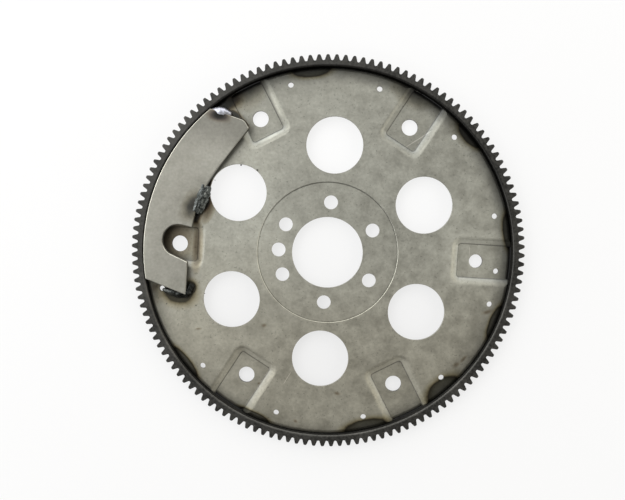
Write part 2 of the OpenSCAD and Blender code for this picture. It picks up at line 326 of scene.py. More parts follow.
# painted shade under the ring, in the floor's glow and in its paint
underRingShade = calc(
    floorTree, "MULTIPLY",
    fade(floorTree, floorRadius, floorSet["bandStart"], floorSet["bandStart"] + floorSet["bandSoft"]),
    fade(floorTree, floorRadius, floorSet["bandEnd"], floorSet["bandEnd"] + floorSet["bandSoft"], 1.0, 0.0))
bandShadeTone = (1 - floorSet["bandShade"],) * 3
floorTone = multiplied(floorTree, floorTone, bandShadeTone, underRingShade)
floorPaint = multiplied(floorTree, (floorSet["paint"],) * 3, bandShadeTone, underRingShade)
plugIn(floorTree, floorShader.inputs["Base Color"], floorPaint)
plugIn(floorTree, floorShader.inputs["Roughness"], floorSet["rough"])
floorGlow = addNode(floorTree, "ShaderNodeEmission")
plugIn(floorTree, floorGlow.inputs["Strength"], floorTone)
floorPath = addNode(floorTree, "ShaderNodeLightPath")
seenRay = calc(floorTree, "MAXIMUM", floorPath.outputs["Is Camera Ray"], floorPath.outputs["Is Glossy Ray"])
seenRay = calc(floorTree, "MAXIMUM", seenRay, floorPath.outputs["Is Transmission Ray"])
floorMix = addNode(floorTree, "ShaderNodeMixShader")
plugIn(floorTree, floorMix.inputs["Fac"], calc(floorTree, "MULTIPLY", seenRay, 1 - floorSet["shadowShare"]))
plugIn(floorTree, floorMix.inputs[1], floorShader.outputs[0])
plugIn(floorTree, floorMix.inputs[2], floorGlow.outputs[0])
plugIn(floorTree, floorTree.nodes["Material Output"].inputs["Surface"], floorMix.outputs[0])
floor.data.materials.append(floorMaterial)
print("floor laid")


# A place on the part by its angle and its distance from the axis
def polar(angle, radius):
    turn = math.radians(angle)
    return (radius * math.cos(turn), radius * math.sin(turn))


# Patches along the rim, with their middles a little inside it
rimMarkSet = {"inset": 0.002}


def rimPatches(marks):
    return [
        {"place": polar(mark["angle"], rimRadius - rimMarkSet["inset"]),
         "turn": mark["angle"], "half": (mark["deep"], mark["long"])}
        for mark in marks
    ]


# Stains on the plate's face, and patches of painted light and shade. Each has its oval patches, how ragged
# their edges are, and stops as (distance, colour that the steel is multiplied by), where 1 is a patch's edge.
ringBurns = {   # where the ring was welded behind the plate
    "ragged": 1.0,
    "stops": [(0.0, 0.20), (0.66, (0.19, 0.19, 0.17)), (0.86, (0.12, 0.115, 0.09)),
              (0.97, (0.06, 0.05, 0.035)), (1.05, (0.32, 0.28, 0.19)), (1.16, (0.68, 0.63, 0.50)),
              (1.36, (0.90, 0.88, 0.81)), (1.60, 1.0)],
    "patches": rimPatches([
        {"angle": 10.2, "deep": 0.0053, "long": 0.016},
        {"angle": 43.0, "deep": 0.0050, "long": 0.013},
        {"angle": 98.4, "deep": 0.0064, "long": 0.017},
        {"angle": 221.1, "deep": 0.0046, "long": 0.017},
        {"angle": 249.2, "deep": 0.0038, "long": 0.015},
        {"angle": 285.8, "deep": 0.0076, "long": 0.020},
        {"angle": 313.4, "deep": 0.0102, "long": 0.017},
        {"angle": 340.8, "deep": 0.0050, "long": 0.016},
    ]),
}
ringHaze = {    # fainter heat along the rim
    "ragged": 2.0,
    "stops": [(0.0, 0.42), (0.50, (0.50, 0.49, 0.46)), (0.90, (0.80, 0.78, 0.73)), (1.30, 1.0)],
    "patches": rimPatches([
        {"angle": 44.4, "deep": 0.0100, "long": 0.018},
        {"angle": 65.4, "deep": 0.0130, "long": 0.020},
        {"angle": 120.5, "deep": 0.0170, "long": 0.017},
        {"angle": 195.8, "deep": 0.0120, "long": 0.012},
    ]),
}
weldSootAndShade = {  # soot round the weight's upper and inner welds, with painted shade in the gaps beside the weight's edges
    "ragged": 1.6,
    "stops": [(0.0, 0.10), (0.55, 0.13), (0.85, (0.24, 0.20, 0.155)), (1.10, (0.60, 0.53, 0.44)),
              (1.35, (0.88, 0.84, 0.77)), (1.70, 1.0)],
    "patches": [
        {"place": polar(128.5, 0.1630), "turn": 38, "half": (0.0150, 0.0065)},
        {"place": (-0.0915, 0.1205), "turn": -33, "half": (0.0070, 0.0030)},
        {"place": (-0.0835, 0.1150), "turn": -42, "half": (0.0055, 0.0014)},
        {"place": (-0.1128, 0.0565), "turn": 65, "half": (0.0045, 0.0030)},
        {"place": (-0.1135, 0.0385), "turn": 70, "half": (0.0060, 0.0040)},
        {"place": (-0.1217, 0.0262), "turn": 78, "half": (0.0062, 0.0035)},
    ],
}
lowerBurn = {   # round the weight's lower weld
    "ragged": 0.8,
    "stops": [(0.0, 0.07), (0.60, (0.155, 0.152, 0.128)), (0.95, (0.12, 0.108, 0.083)),
              (1.05, (0.37, 0.33, 0.24)), (1.20, (0.66, 0.61, 0.49)), (1.45, (0.90, 0.87, 0.80)),
              (1.75, 1.0)],
    "patches": [
        {"place": (-0.1345, -0.0446), "turn": -8, "half": (0.0130, 0.0098)},
        {"place": (-0.1245, -0.0402), "turn": 70, "half": (0.0064, 0.0056)},
    ],
}
notchDirt = {   # old oil in the weight's notch and beside its inner weld
    "ragged": 1.6,
    "stops": [(0.0, (0.30, 0.25, 0.195)), (0.60, (0.38, 0.325, 0.26)), (1.0, (0.58, 0.52, 0.44)),
              (1.45, (0.82, 0.77, 0.69)), (1.90, 1.0)],
    "patches": [
        {"place": (-0.1470, 0.0060), "turn": 12, "half": (0.0175, 0.0155)},
        {"place": (-0.1204, 0.0010), "turn": 91, "half": (0.0165, 0.0036)},
        {"place": (-0.1110, 0.0330), "turn": 72, "half": (0.0085, 0.0036)},
    ],
}
brownSmears = {
    "ragged": 3.0,
    "stops": [(0.0, (0.52, 0.46, 0.40)), (0.55, (0.66, 0.60, 0.54)), (1.0, (0.88, 0.85, 0.81)), (1.5, 1.0)],
    "patches": [
        {"place": (0.1245, -0.0962), "turn": 40, "half": (0.0032, 0.0020)},
        {"place": (0.1307, -0.0905), "turn": 50, "half": (0.0040, 0.0014)},
        {"place": (0.1497, -0.0457), "turn": 20, "half": (0.0046, 0.0016)},
        {"place": (-0.0563, -0.1258), "turn": 20, "half": (0.0014, 0.0009)},
        {"place": (-0.1150, -0.0776), "turn": 10, "half": (0.0024, 0.0009)},
        {"place": (0.0166, -0.1297), "turn": -10, "half": (0.0024, 0.0014)},
        {"place": (-0.0201, -0.1581), "turn": 60, "half": (0.0014, 0.0022)},
        {"place": (-0.0541, -0.0708), "turn": 20, "half": (0.0022, 0.0016)},
        {"place": (-0.1568, -0.0416), "turn": 60, "half": (0.0050, 0.0030)},
    ],
}
wallHighlightPatches = {     # painted highlights: bright bands on the walls of the two pads by the weight
    "ragged": 0.0,
    "stops": [(0.0, 1.85), (0.40, 1.70), (0.75, 1.30), (1.10, 1.08), (1.50, 1.0)],
    "patches": [
        {"place": (-0.1171, 0.0008), "turn": -87.7, "half": (0.0190, 0.0024)},
        {"place": (-0.0590, 0.1018), "turn": 29.5, "half": (0.0190, 0.0024)},
        {"place": (-0.0547, 0.1315), "turn": -61.4, "half": (0.0210, 0.0021)},
    ],
}
paleAreas = {
    "ragged": 1.0,
    "stops": [(0.0, 1.15), (0.70, 1.11), (1.30, 1.02), (1.70, 0.97)],
    "patches": [
        {"place": (0.1260, 0.0180), "turn": 0, "half": (0.030, 0.034)},
        {"place": (-0.1060, -0.0350), "turn": 0, "half": (0.030, 0.045)},
        {"place": (-0.0620, 0.0020), "turn": 0, "half": (0.022, 0.034)},
        {"place": (-0.0760, 0.0740), "turn": 0, "half": (0.022, 0.024)},
    ],
}
# painted shadow of the ring on the plate, along the top and the lower right
ringShadeAreas = {
    "ragged": 1.0,
    "stops": [(0.0, 0.81), (0.60, 0.85), (1.10, 0.95), (1.60, 1.0)],
    "patches": [
        {"place": polar(104, 0.1600), "turn": 104, "half": (0.0140, 0.0480)},
        {"place": polar(332, 0.1600), "turn": 332, "half": (0.0140, 0.0620)},
    ],
}
faceScratches = {
    "tone": (0.62, 0.60, 0.54),
    "share": 0.55,
    "core": 0.5,            # full strength inside this distance, none at the edge
    "edge": 1.0,
    "patches": [
        {"place": (0.0760, 0.1076), "turn": 35.5, "half": (0.0185, 0.00045)},
        {"place": (0.1302, 0.0094), "turn": 94.0, "half": (0.0056, 0.00040)},
        {"place": (-0.0300, -0.1180), "turn": 62.0, "half": (0.0090, 0.00035)},
    ],
}

stainReach = 2.0    # the distance that the whole of a colour ramp stands for


def stainOrPaintedLight(tree, colour, place, drift, mark):
    distance = nearestPatch(tree, place, mark["patches"])
    if mark["ragged"]:
        distance = calc(tree, "ADD", distance, calc(tree, "MULTIPLY", drift, mark["ragged"]))
    stops = [(reach / stainReach, tone) for reach, tone in mark["stops"]]
    return multiplied(tree, colour, ramp(tree, calc(tree, "DIVIDE", distance, stainReach), stops))


# Two sizes of mottling, from the dark to the light colour of a steel
def mottled(tree, large, small, steel):
    tone = calc(tree, "ADD", calc(tree, "MULTIPLY", large, steel["largeShare"]),
                calc(tree, "MULTIPLY", small, 1 - steel["largeShare"]))
    return ramp(tree, tone, [(steel["darkAt"], steel["dark"]), (steel["lightAt"], steel["light"])])


plateSet = {
    "dark": (0.271, 0.269, 0.231),
    "light": (0.364, 0.365, 0.322),
    "darkAt": 0.34,
    "lightAt": 0.66,
    "largeShare": 0.42,
    "broad": {"scale": 14.0, "detail": 4.0, "roughness": 0.55},
    "middle": {"scale": 75.0, "detail": 5.0, "roughness": 0.6},
    "fine": {"scale": 360.0, "detail": 3.0, "roughness": 0.6},
    "grainTones": [(0.28, 0.88), (0.72, 1.10)],
    "specks": {"scale": 520.0, "detail": 1.0},          # dark specks of scale
    "speckTones": [(0.27, 0.72), (0.33, 1.0)],
    "waver": {"scale": 40.0, "amount": 0.5},            # in the edges of pale and dusky areas
    "drift": {"scale": 130.0, "amount": 0.26},          # in the edges of the other stains and painted patches
    "lowTint": (1.0, 0.965, 0.915),     # warmer towards the bottom
    "tintLow": -0.11,
    "tintHigh": 0.04,
    "metallic": 0.72,
    "roughLow": 0.46,
    "roughHigh": 0.62,
    "bump": 0.14,
    "bumpDepth": 0.0004,
    "bumpFine": 0.4,        # the fine grain's share of the bump
    "edge": 0.0004,         # radius that breaks the stamped edges
    "dirtAndShadeReach": 0.010,
    "dirtAndShadeTones": [(0.30, 0.26), (0.60, 0.58), (0.80, 0.88), (0.93, 1.0)],
    "padFloor": -0.0036,
    "footRise": 0.0011,     # painted shade: a dark line where a pad's wall meets its floor
    "footShadeTone": 0.22,
    "wallFoot": -0.0040,    # pad walls that face the top or a side get a painted highlight between these heights
    "wallTop": 0.0002,
    "wallHighlightTone": (1.08, 1.11, 1.19),
    "wallHighlightFacing": (-0.30, 0.05),
    "dullFoot": -0.0014,    # and those that face the bottom are duller than the face
    "dullTop": 0.0004,
    "dullFacing": (-0.05, -0.22),
    "dullMetallic": 0.20,
    "dullRough": 0.85,
    "wallFacing": 0.86,     # upward share of the normal on a pad's wall and on flat ground
    "flatFacing": 0.97,
    "bendStart": 0.1664,    # the sheet turns down into the rim here, under a painted shade
    "bendEnd": 0.1678,
    "bendShadeTone": 0.30,
    "bendRough": 0.95,
    "grimeAndShadeStart": 0.1515,   # grime and the ring's painted shadow thicken towards the ring, most of all along the top
    "grimeAndShadeEnd": 0.1668,
    "grimeAndShadeTone": 0.34,
    "grimeAndShadeLow": -0.14,
    "grimeAndShadeHigh": 0.10,
    "grimeAndShadeLeast": 0.27,
    "grimeAndShadeSpread": {"scale": 55.0, "amount": 0.008},
    "hubFoot": 0.0640,      # a painted shade line at the foot of the step round the hub, then a painted highlight on its slope
    "hubSlope": 0.0646,
    "hubHalf": 0.0006,
    "hubShadeTone": 0.42,
    "hubHighlightTone": 1.70,
    "hubHighlightFacing": (-0.45, 0.05),
}


def plateGround(tree, place, middle, fine):
    colour = mottled(tree, noise(tree, place, **plateSet["broad"]), middle, plateSet)
    colour = multiplied(tree, colour, ramp(tree, fine, plateSet["grainTones"]))
    specks = noise(tree, place, **plateSet["specks"])
    return multiplied(tree, colour, ramp(tree, specks, plateSet["speckTones"]))


def plateStainsAndPaintedLight(tree, place, colour):
    waver = wander(tree, place, **plateSet["waver"])
    for area in (paleAreas, ringShadeAreas):
        colour = stainOrPaintedLight(tree, colour, place, waver, area)
    scratch = nearestPatch(tree, place, faceScratches["patches"])
    scratch = fade(tree, scratch, faceScratches["core"], faceScratches["edge"], faceScratches["share"], 0.0)
    colour = mixColour(tree, "MIX", scratch, colour, faceScratches["tone"])
    drift = wander(tree, place, **plateSet["drift"])
    for mark in (wallHighlightPatches, brownSmears, ringBurns, ringHaze, weldSootAndShade, lowerBurn, notchDirt):
        colour = stainOrPaintedLight(tree, colour, place, drift, mark)
    return colour


# The pads' walls: a painted highlight where they face the top or a side, and a painted shade line at the foot
def padWalls(tree, colour, height, upward, turned):
    facing = fade(tree, upward, *plateSet["wallHighlightFacing"])
    wallGleam = mixColour(tree, "MIX", facing, (1, 1, 1), plateSet["wallHighlightTone"])
    low = fade(tree, height, plateSet["wallTop"], plateSet["wallFoot"])
    onWall = calc(tree, "MULTIPLY", low, turned)
    colour = multiplied(tree, colour, wallGleam, onWall)
    footTop = plateSet["padFloor"] + plateSet["footRise"]
    foot = fade(tree, height, plateSet["padFloor"], footTop, plateSet["footShadeTone"], 1.0)
    return multiplied(tree, colour, foot, onWall)


# Grime and painted shade of the ring along the rim, and painted shade where the sheet bends down
def rimGrimeAndShade(tree, colour, place, radius, upPlate):
    spread = calc(tree, "ADD", radius, wander(tree, place, **plateSet["grimeAndShadeSpread"]))
    grimeAndShade = fade(tree, spread, plateSet["grimeAndShadeStart"], plateSet["grimeAndShadeEnd"], 1.0, plateSet["grimeAndShadeTone"])
    share = fade(tree, upPlate, plateSet["grimeAndShadeLow"], plateSet["grimeAndShadeHigh"], plateSet["grimeAndShadeLeast"], 1.0)
    colour = multiplied(tree, colour, grimeAndShade, share)
    bendShade = fade(tree, radius, plateSet["bendStart"], plateSet["bendEnd"], 1.0, plateSet["bendShadeTone"])
    return multiplied(tree, colour, bendShade)


# The hub's step: a painted highlight on its slope where it faces the top or a side, and a painted shade line
# at its foot
def hubStep(tree, colour, radius, upward, turned):
    slopeGap = calc(tree, "ABSOLUTE", calc(tree, "SUBTRACT", radius, plateSet["hubSlope"]))
    onSlope = calc(tree, "MULTIPLY", fade(tree, slopeGap, 0.0, plateSet["hubHalf"], 1.0, 0.0), turned)
    paintedHighlight = fade(tree, upward, *plateSet["hubHighlightFacing"], 1.0, plateSet["hubHighlightTone"])
    colour = multiplied(tree, colour, paintedHighlight, onSlope)
    footGap = calc(tree, "ABSOLUTE", calc(tree, "SUBTRACT", radius, plateSet["hubFoot"]))
    return multiplied(tree, colour, fade(tree, footGap, 0.0, plateSet["hubHalf"], plateSet["hubShadeTone"], 1.0))


def makePlateSteel():
    material, tree, shader = startMaterial("plateSteel")
    place = objectPlace(tree)
    height = along(tree, place, "Z")
    upPlate = along(tree, place, "Y")
    radius = axisDistance(tree, place)
    upward = facingSide(tree, (0, 1, 0))
    flat = fade(tree, facingUp(tree), plateSet["wallFacing"], plateSet["flatFacing"])
    turned = calc(tree, "SUBTRACT", 1.0, flat)
    middle = noise(tree, place, **plateSet["middle"])
    fine = noise(tree, place, **plateSet["fine"])
    colour = plateGround(tree, place, middle, fine)
    colour = plateStainsAndPaintedLight(tree, place, colour)
    # painted shade, with dirt, on flat ground beside walls
    corner = cornerDirtAndShade(tree, plateSet["dirtAndShadeReach"], plateSet["dirtAndShadeTones"])
    colour = multiplied(tree, colour, corner, flat)
    colour = padWalls(tree, colour, height, upward, turned)
    colour = rimGrimeAndShade(tree, colour, place, radius, upPlate)
    colour = hubStep(tree, colour, radius, upward, turned)
    warm = fade(tree, upPlate, plateSet["tintLow"], plateSet["tintHigh"], 1.0, 0.0)
    colour = multiplied(tree, colour, plateSet["lowTint"], warm)
    plugIn(tree, shader.inputs["Base Color"], colour)
    below = fade(tree, height, plateSet["dullTop"], plateSet["dullFoot"])
    dull = calc(tree, "MULTIPLY", below, turned)
    dull = calc(tree, "MULTIPLY", dull, fade(tree, upward, *plateSet["dullFacing"]))
    metallic = fade(tree, dull, 0.0, 1.0, plateSet["metallic"], plateSet["dullMetallic"])
    plugIn(tree, shader.inputs["Metallic"], metallic)
    rough = uneven(tree, middle, plateSet["roughLow"], plateSet["roughHigh"])
    rough = calc(tree, "MAXIMUM", rough, calc(tree, "MULTIPLY", dull, plateSet["dullRough"]))
    rimRough = fade(tree, radius, plateSet["bendStart"], plateSet["bendEnd"], 0.0, plateSet["bendRough"])
    plugIn(tree, shader.inputs["Roughness"], calc(tree, "MAXIMUM", rough, rimRough))
    relief = calc(tree, "ADD", middle, calc(tree, "MULTIPLY", fine, plateSet["bumpFine"]))
    surfaceNormal(tree, shader, relief, plateSet["bump"], plateSet["bumpDepth"], plateSet["edge"])
    return material


ringSet = {
    "dark": (0.023, 0.023, 0.021),
    "light": (0.072, 0.070, 0.064),
    "darkAt": 0.35,
    "lightAt": 0.68,
    "largeShare": 0.5,
    "broad": {"scale": 30.0, "detail": 4.0, "roughness": 0.55},
    "fine": {"scale": 500.0, "detail": 3.0, "roughness": 0.6},
    "metallic": 0.7,
    "gloss": 0.5,
    "roughLow": 0.38,
    "roughHigh": 0.56,
    "bump": 0.2,
    "bumpDepth": 0.0003,
    "edge": 0.0003,
    "boreEnd": 0.1704,      # painted light and shade on the bore's edge lie inside this radius
    "boreSoft": 0.0006,
    "paintedHighlight": 1.7,          # painted highlight, brightest along the bottom
    "boreShadeTone": 0.40,
    "boreLightLow": -0.15,
    "boreLightHigh": 0.13,
    "wallFacing": 0.5,      # upward share of the normal at the bore's edge and on its upright wall
    "wallUpright": 0.2,
    "wallShadeTone": 0.3,        # painted shade: the wall shows beyond the pads, and is dark and dull
}


def makeRingSteel():
    material, tree, shader = startMaterial("ringSteel")
    place = objectPlace(tree)
    fine = noise(tree, place, **ringSet["fine"])
    colour = mottled(tree, noise(tree, place, **ringSet["broad"]), fine, ringSet)
    inside = fade(tree, axisDistance(tree, place), ringSet["boreEnd"],
                  ringSet["boreEnd"] - ringSet["boreSoft"])
    # painted highlight on the bore's edge along the bottom, painted shade along the top
    boreLightAndShade = fade(tree, along(tree, place, "Y"), ringSet["boreLightLow"], ringSet["boreLightHigh"],
               ringSet["paintedHighlight"], ringSet["boreShadeTone"])
    colour = multiplied(tree, colour, boreLightAndShade, inside)
    upright = fade(tree, facingUp(tree), ringSet["wallFacing"], ringSet["wallUpright"])
    wall = calc(tree, "MULTIPLY", inside, upright)
    colour = multiplied(tree, colour, (ringSet["wallShadeTone"],) * 3, wall)
    plugIn(tree, shader.inputs["Base Color"], colour)
    plugIn(tree, shader.inputs["Metallic"], fade(tree, wall, 0.0, 1.0, ringSet["metallic"], 0.0))
    plugIn(tree, shader.inputs["Specular IOR Level"], fade(tree, wall, 0.0, 1.0, ringSet["gloss"], 0.0))
    plugIn(tree, shader.inputs["Roughness"], uneven(tree, fine, ringSet["roughLow"], ringSet["roughHigh"]))
    surfaceNormal(tree, shader, fine, ringSet["bump"], ringSet["bumpDepth"], ringSet["edge"])
    return material


weightSet = {
    "dark": (0.219, 0.214, 0.184),
    "light": (0.325, 0.320, 0.282),
    "darkAt": 0.36,
    "lightAt": 0.66,
    "largeShare": 0.55,
    "broad": {"scale": 22.0, "detail": 4.0, "roughness": 0.55},
    "middle": {"scale": 110.0, "detail": 5.0, "roughness": 0.6},
    "fine": {"scale": 400.0, "detail": 3.0, "roughness": 0.6},
    "grainTones": [(0.28, 0.89), (0.72, 1.09)],
    "drift": {"scale": 150.0, "amount": 0.4},
    "metallic": 0.72,
    "roughLow": 0.46,
    "roughHigh": 0.62,
    "bump": 0.14,
    "bumpDepth": 0.0004,
    "bumpFine": 0.4,
    "softEdge": 0.0002,
    "turnTones": [(0.08, 0.36), (0.35, 0.8), (0.90, 1.0), (0.985, 1.0)],    # dark sides, plain face
    "edgeHighlightTones": [(0.08, 0.50), (0.35, 2.2), (0.90, 2.7), (0.985, 1.0)],     # with painted highlights on the edges that face the top
    "edgeHighlightSide": (-0.35, 0.94, 0.0),
    "edgeHighlightFacing": (-0.1, 0.2),
    "endStart": 0.080,      # the upper end is a little darker
    "endDone": 0.112,
    "endTone": 0.76,
    "edge": 0.0009,         # radius of the flame-cut edges
    "edgeSteps": 3,
    "edgeAngle": 40,
    "mergeGap": 0.000001,
    "flatAngle": 0.5,
    "smoothAngle": 30,
}
weightHeat = {      # where the upper weld heated the weight
    "ragged": 1.0,
    "stops": [(0.0, 0.04), (0.45, 0.08), (0.72, (0.26, 0.23, 0.235)), (1.0, (0.64, 0.575, 0.545)),
              (1.25, (0.89, 0.86, 0.83)), (1.55, 1.0)],
    "patches": [{"place": (-0.1050, 0.1184), "turn": -8, "half": (0.0090, 0.0051)}],
}
weightSmudge = {    # beside the inner weld
    "ragged": 1.5,
    "stops": [(0.0, 0.12), (0.45, 0.20), (0.80, (0.50, 0.48, 0.44)), (1.10, (0.82, 0.80, 0.76)),
              (1.45, 1.0)],
    "patches": [{"place": (-0.1250, 0.0352), "turn": 66, "half": (0.0125, 0.0078)}],
}


def makeWeightSteel():
    material, tree, shader = startMaterial("weightSteel")
    place = objectPlace(tree)
    middle = noise(tree, place, **weightSet["middle"])
    fine = noise(tree, place, **weightSet["fine"])
    colour = mottled(tree, noise(tree, place, **weightSet["broad"]), middle, weightSet)
    colour = multiplied(tree, colour, ramp(tree, fine, weightSet["grainTones"]))
    drift = wander(tree, place, **weightSet["drift"])
    for mark in (weightHeat, weightSmudge):
        colour = stainOrPaintedLight(tree, colour, place, drift, mark)
    endShade = fade(tree, along(tree, place, "Y"), weightSet["endStart"], weightSet["endDone"],
                    1.0, weightSet["endTone"])
    colour = multiplied(tree, colour, endShade)
    up = facingUp(tree)
    # painted highlights on the edges that face the top, darker sides elsewhere
    edgeHighlightShare = fade(tree, facingSide(tree, weightSet["edgeHighlightSide"]), *weightSet["edgeHighlightFacing"])
    turned = mixColour(tree, "MIX", edgeHighlightShare, ramp(tree, up, weightSet["turnTones"]),
                       ramp(tree, up, weightSet["edgeHighlightTones"]))
    colour = multiplied(tree, colour, turned)
    plugIn(tree, shader.inputs["Base Color"], colour)
    plugIn(tree, shader.inputs["Metallic"], weightSet["metallic"])
    rough = uneven(tree, middle, weightSet["roughLow"], weightSet["roughHigh"])
    plugIn(tree, shader.inputs["Roughness"], rough)
    relief = calc(tree, "ADD", middle, calc(tree, "MULTIPLY", fine, weightSet["bumpFine"]))
    surfaceNormal(tree, shader, relief, weightSet["bump"], weightSet["bumpDepth"], weightSet["softEdge"])
    return material


# What all weld metal has in common; each weld has its own finish
weldSet = {
    "detail": 5.0,
    "roughness": 0.65,
    "darkAt": 0.34,
    "lightAt": 0.60,
    "sparkAt": 0.70,
    "bumpDepth": 0.0004,
    "softEdge": 0.0002,
}


def makeWeldMetal(name, finish):
    material, tree, shader = startMaterial(name)
    place = objectPlace(tree)
    streaks = stretched(tree, place, finish["streak"], finish["streakTurn"])
    fine = noise(tree, streaks, finish["grain"], weldSet["detail"], weldSet["roughness"])
    colour = ramp(tree, fine, [(weldSet["darkAt"], finish["dark"]), (weldSet["lightAt"], finish["light"]),
                               (weldSet["sparkAt"], finish["spark"])])
    if "sootTone" in finish:
        sooty = fade(tree, along(tree, place, "X"), finish["sootStart"], finish["sootEnd"],
                     1.0, finish["sootTone"])
        colour = multiplied(tree, colour, sooty)
    plugIn(tree, shader.inputs["Base Color"], colour)
    plugIn(tree, shader.inputs["Metallic"], finish["metallic"])
    plugIn(tree, shader.inputs["Roughness"], uneven(tree, fine, *finish["rough"]))
    surfaceNormal(tree, shader, fine, finish["bump"], weldSet["bumpDepth"], weldSet["softEdge"])
    return material


def applyModifier(piece, kind, **settings):
    modifier = piece.modifiers.new(kind.lower(), kind)
    for key, value in settings.items():
        setattr(modifier, key, value)
    bpy.ops.object.modifier_apply(modifier=modifier.name)


def finishPiece(piece, material, replaced=None):
    piece.data.materials.clear()
    piece.data.materials.append(material)
    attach(piece, "root")
    if replaced:
        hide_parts(replaced)


for name, material in (("plate", makePlateSteel()), ("ring_gear", makeRingSteel())):
    nodes[name].data.materials.clear()
    nodes[name].data.materials.append(material)
print("plate and ring finished")

# The weight, with its flame-cut edges broken
weight = bpy.data.objects.new("balanceWeight", nodes["balance_weight"].data.copy())
bpy.context.collection.objects.link(weight)
bpy.ops.object.select_all(action="DESELECT")
weight.select_set(True)
bpy.context.view_layer.objects.active = weight
bpy.ops.object.mode_set(mode="EDIT")
bpy.ops.mesh.select_all(action="SELECT")
bpy.ops.mesh.remove_doubles(threshold=weightSet["mergeGap"])
bpy.ops.mesh.dissolve_limited(angle_limit=math.radians(weightSet["flatAngle"]))
bpy.ops.object.mode_set(mode="OBJECT")
bpy.ops.object.shade_smooth_by_angle(angle=math.radians(weightSet["smoothAngle"]))
applyModifier(weight, "BEVEL", width=weightSet["edge"], segments=weightSet["edgeSteps"], harden_normals=True,
              limit_method="ANGLE", angle_limit=math.radians(weightSet["edgeAngle"]))
finishPiece(weight, makeWeightSteel(), "balance_weight")
print("weight finished:", len(weight.data.polygons), "faces")


# Places along a route, one step apart, each with the direction there
def routeStops(points, step):
    stops = []
    for start, end in zip(points, points[1:]):
        start, end = Vector(start), Vector(end)
        count = max(1, round((end - start).length / step))
        heading = math.atan2(end.y - start.y, end.x - start.x)
        stops += [(start.lerp(end, index / count), heading) for index in range(count)]
    stops.append((Vector(points[-1]), stops[-1][1]))
    return stops


# How any bead is melted: the drops' facets, the part of its length that each end tapers over,
# and how it is smoothed
meltSet = {"segments": 16, "rings": 10, "endParts": 3, "lumpLevel": 0.5, "smoothPull": 0.5, "smoothAngle": 50}


# A weld run: flattened drops laid along a route and melted into one another
def meltBead(name, bead):
    draw = random.Random(bead["seed"])
    bpy.ops.object.select_all(action="DESELECT")
    bpy.ops.mesh.primitive_uv_sphere_add(
        segments=meltSet["segments"], ring_count=meltSet["rings"], radius=bead["step"])
    piece = bpy.context.object
    piece.name = name
    bpy.ops.object.mode_set(mode="EDIT")
    bpy.ops.mesh.delete(type="VERT")
    for row in bead["rows"]:
        stops = routeStops(bead["route"], bead["step"])
        for index, (spot, heading) in enumerate(stops):
            toEnd = min(index, len(stops) - 1 - index) / max(1, len(stops) // meltSet["endParts"])
            taper = bead["taper"] + (1 - bead["taper"]) * min(1.0, toEnd)
            swell = taper * (1 + draw.uniform(-1, 1) * bead["uneven"])
            outward = Vector((math.sin(heading), -math.cos(heading)))
            centre = spot + outward * (row["out"] + draw.uniform(-1, 1) * bead["stray"])
            bpy.ops.mesh.primitive_uv_sphere_add(
                segments=meltSet["segments"], ring_count=meltSet["rings"], radius=1,
                location=(centre.x, centre.y, row["height"]),
                rotation=(0, math.radians(bead["lay"]), heading),
                scale=(bead["step"] * bead["overlap"], row["wide"] * swell, row["tall"] * swell))
    bpy.ops.object.mode_set(mode="OBJECT")
    applyModifier(piece, "REMESH", mode="VOXEL", voxel_size=bead["voxel"])
    cloud = bpy.data.textures.new(name + "Cloud", "CLOUDS")
    cloud.noise_scale = bead["lumpSize"]
    applyModifier(piece, "DISPLACE", texture=cloud, strength=bead["lumps"], mid_level=meltSet["lumpLevel"])
    applyModifier(piece, "SMOOTH", factor=meltSet["smoothPull"], iterations=bead["smooth"])
    return piece


# Cut a bead flat where it lies on the steel
def cutFlat(piece, height, keepAbove):
    bpy.ops.object.mode_set(mode="EDIT")
    bpy.ops.mesh.select_all(action="SELECT")
    bpy.ops.mesh.bisect(plane_co=(0, 0, height), plane_no=(0, 0, 1), use_fill=True,
                        clear_inner=keepAbove, clear_outer=not keepAbove)
    bpy.ops.object.mode_set(mode="OBJECT")
    bpy.ops.object.shade_smooth_by_angle(angle=math.radians(meltSet["smoothAngle"]))


upperWeld = {
    "node": "weight_weld_upper", "seed": 3,
    "step": 0.0013, "overlap": 1.5, "taper": 0.55, "uneven": 0.03, "stray": 0.0, "lay": 12,
    "voxel": 0.00032, "lumps": 0.0001, "lumpSize": 0.003, "smooth": 10,
    "route": [(-0.1118, 0.1220), (-0.1040, 0.1217), (-0.0962, 0.1204)],
    "rows": [
        {"out": 0.0000, "height": 0.0034, "wide": 0.0048, "tall": 0.0044},
    ],
    "finish": {
        "dark": (0.38, 0.39, 0.44), "light": (0.50, 0.51, 0.57), "spark": (0.58, 0.59, 0.64),
        "metallic": 0.95, "rough": (0.34, 0.42), "grain": 160.0, "bump": 0.04,
        "streak": 2.0, "streakTurn": 0,
    },
}
innerWeld = {
    "node": "weight_weld_inner", "seed": 8,
    "step": 0.0016, "overlap": 1.5, "taper": 0.75, "uneven": 0.14, "stray": 0.0006, "lay": 20,
    "voxel": 0.00035, "lumps": 0.0005, "lumpSize": 0.0022, "smooth": 4,
    "route": [polar(155.1, 0.1246), polar(158.7, 0.1239), polar(162.2, 0.1236), polar(165.8, 0.1236)],
    "rows": [
        {"out": 0.0030, "height": 0.0060, "wide": 0.0034, "tall": 0.0017},
        {"out": 0.0008, "height": 0.0046, "wide": 0.0036, "tall": 0.0030},
        {"out": -0.0016, "height": 0.0024, "wide": 0.0034, "tall": 0.0030},
    ],
    "finish": {
        # the spark colour, drawn out in streaks, paints glints on the bead
        "dark": (0.010, 0.012, 0.011), "light": (0.12, 0.13, 0.125), "spark": (0.62, 0.65, 0.64),
        "metallic": 0.9, "rough": (0.30, 0.5), "grain": 520.0, "bump": 0.6,
        "streak": 5.0, "streakTurn": 64,
    },
}
